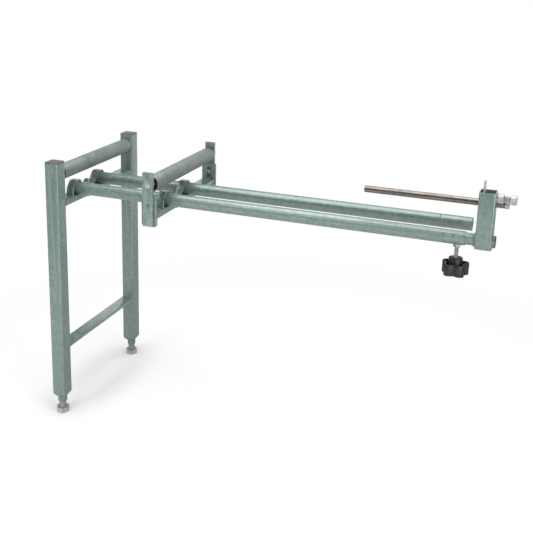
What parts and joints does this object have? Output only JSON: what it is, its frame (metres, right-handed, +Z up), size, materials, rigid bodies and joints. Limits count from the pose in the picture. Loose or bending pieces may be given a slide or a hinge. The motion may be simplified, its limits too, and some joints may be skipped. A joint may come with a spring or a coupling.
{
  "type": "roller stand",
  "caption": "Two-legged roller stand with two long rails, a fixed roller, a sliding height-adjustable roller carriage and a telescoping rod length stop.",
  "frame": {"origin": "on the floor, under the middle of the stand's bounding box", "axes": "+X along the rails from the legs to the length stop, +Y from the near leg to the far leg, +Z up"},
  "size_m": [1.2212, 0.462, 0.8],
  "materials": {
    "paint": "hammertone",
    "roller_steel": "satin",
    "zinc": "zinc plated",
    "rod_steel": "bare, turned",
    "plug_plastic": "matte",
    "black_plastic": "satin"
  },
  "bodies": {
    "frame": {"leg_near": "paint", "leg_far": "paint", "leg_plugs": "plug_plastic", "stretcher": "paint", "crossbar": "paint", "rail_near": "paint", "rail_far": "paint", "knob_boss": "paint", "frame_clamp": "paint", "frame_clamp_bolt": "zinc", "frame_clamp_nut": "zinc", "main_axle": "paint"},
    "main_roller_body": {"main_roller": "roller_steel", "main_hubs": "black_plastic"},
    "foot_near_screw": {"foot_near_shank": "zinc"},
    "foot_near_hex": {"foot_near_head": "zinc"},
    "foot_far_screw": {"foot_far_shank": "zinc"},
    "foot_far_hex": {"foot_far_head": "zinc"},
    "carriage": {"carriage_bar": "paint", "bracket_near": "paint", "bracket_far": "paint", "carriage_clamp": "paint", "carriage_clamp_bolt": "zinc", "carriage_clamp_nut": "zinc"},
    "yoke": {"upright_near": "paint", "upright_far": "paint", "height_studs": "zinc", "height_nuts": "zinc", "mid_axle": "zinc"},
    "mid_roller_body": {"mid_roller": "roller_steel", "mid_hubs": "black_plastic"},
    "extension": {"extension_tube": "paint", "tube_cap": "plug_plastic"},
    "stop": {"stop_post": "paint", "lock_boss": "paint"},
    "rod": {"stop_rod": "rod_steel", "rod_collar": "zinc"},
    "plate": {"lock_plate": "zinc"},
    "lock_feed_body": {"lock_shank": "zinc"},
    "lock_turn_body": {"lock_head": "zinc", "lock_nut": "zinc"},
    "knob_feed_body": {"knob_stem": "zinc"},
    "knob_turn_body": {"star_knob": "black_plastic"}
  },
  "joints": [
    {"name": "main_roller_spin", "type": "hinge", "parent": "frame", "child": "main_roller_body", "pos_m": [-0.5894, 0, 0.709], "axis": [0, 1, 0], "continuous": true},
    {"name": "foot_near_feed", "type": "slide", "parent": "frame", "child": "foot_near_screw", "axis": [0, 0, 1], "range_m": [-0.0301, 0.0181]},
    {"name": "foot_near_turn", "type": "hinge", "parent": "foot_near_screw", "child": "foot_near_hex", "pos_m": [-0.5894, -0.21, 0.007], "axis": [0, 0, 1], "range_deg": [-4320, 2592]},
    {"name": "foot_far_feed", "type": "slide", "parent": "frame", "child": "foot_far_screw", "axis": [0, 0, 1], "range_m": [-0.0301, 0.0181]},
    {"name": "foot_far_turn", "type": "hinge", "parent": "foot_far_screw", "child": "foot_far_hex", "pos_m": [-0.5894, 0.21, 0.007], "axis": [0, 0, 1], "range_deg": [-4320, 2592]},
    {"name": "carriage_slide", "type": "slide", "parent": "frame", "child": "carriage", "axis": [1, 0, 0], "range_m": [-0.23, 0.48]},
    {"name": "height_slide", "type": "slide", "parent": "carriage", "child": "yoke", "axis": [0, 0, 1], "range_m": [-0.012, 0.012]},
    {"name": "mid_roller_spin", "type": "hinge", "parent": "yoke", "child": "mid_roller_body", "pos_m": [-0.3104, 0, 0.709], "axis": [0, 1, 0], "continuous": true},
    {"name": "extension_slide", "type": "slide", "parent": "frame", "child": "extension", "axis": [1, 0, 0], "range_m": [-0.018, 0.4]},
    {"name": "stop_swing", "type": "hinge", "parent": "extension", "child": "stop", "pos_m": [0.5436, -0.116, 0.6505], "axis": [1, 0, 0], "range_deg": [-90, 90]},
    {"name": "rod_slide", "type": "slide", "parent": "stop", "child": "rod", "axis": [1, 0, 0], "range_m": [-0.02, 0.26]},
    {"name": "plate_cant", "type": "hinge", "parent": "stop", "child": "plate", "pos_m": [0.5341, -0.116, 0.7271], "axis": [0, 1, 0], "range_deg": [-2, 0]},
    {"name": "lock_feed", "type": "slide", "parent": "stop", "child": "lock_feed_body", "axis": [1, 0, 0], "range_m": [-0.0001, 0.0101]},
    {"name": "lock_turn", "type": "hinge", "parent": "lock_feed_body", "child": "lock_turn_body", "pos_m": [0.6036, -0.1245, 0.7616], "axis": [1, 0, 0], "range_deg": [0, 1800]},
    {"name": "knob_feed", "type": "slide", "parent": "frame", "child": "knob_feed_body", "axis": [0, 0, 1], "range_m": [-0.0081, 0.0001]},
    {"name": "knob_turn", "type": "hinge", "parent": "knob_feed_body", "child": "knob_turn_body", "pos_m": [0.4806, -0.116, 0.58], "axis": [0, 0, 1], "range_deg": [-1920, 0]}
  ],
  "couplings": [
    {"joint": "foot_near_feed", "follows": "foot_near_turn", "m_per_rad": 0.00039789},
    {"joint": "foot_far_feed", "follows": "foot_far_turn", "m_per_rad": 0.00039789},
    {"joint": "lock_feed", "follows": "lock_turn", "m_per_rad": 0.00031831},
    {"joint": "knob_feed", "follows": "knob_turn", "m_per_rad": 0.00023873}
  ]
}
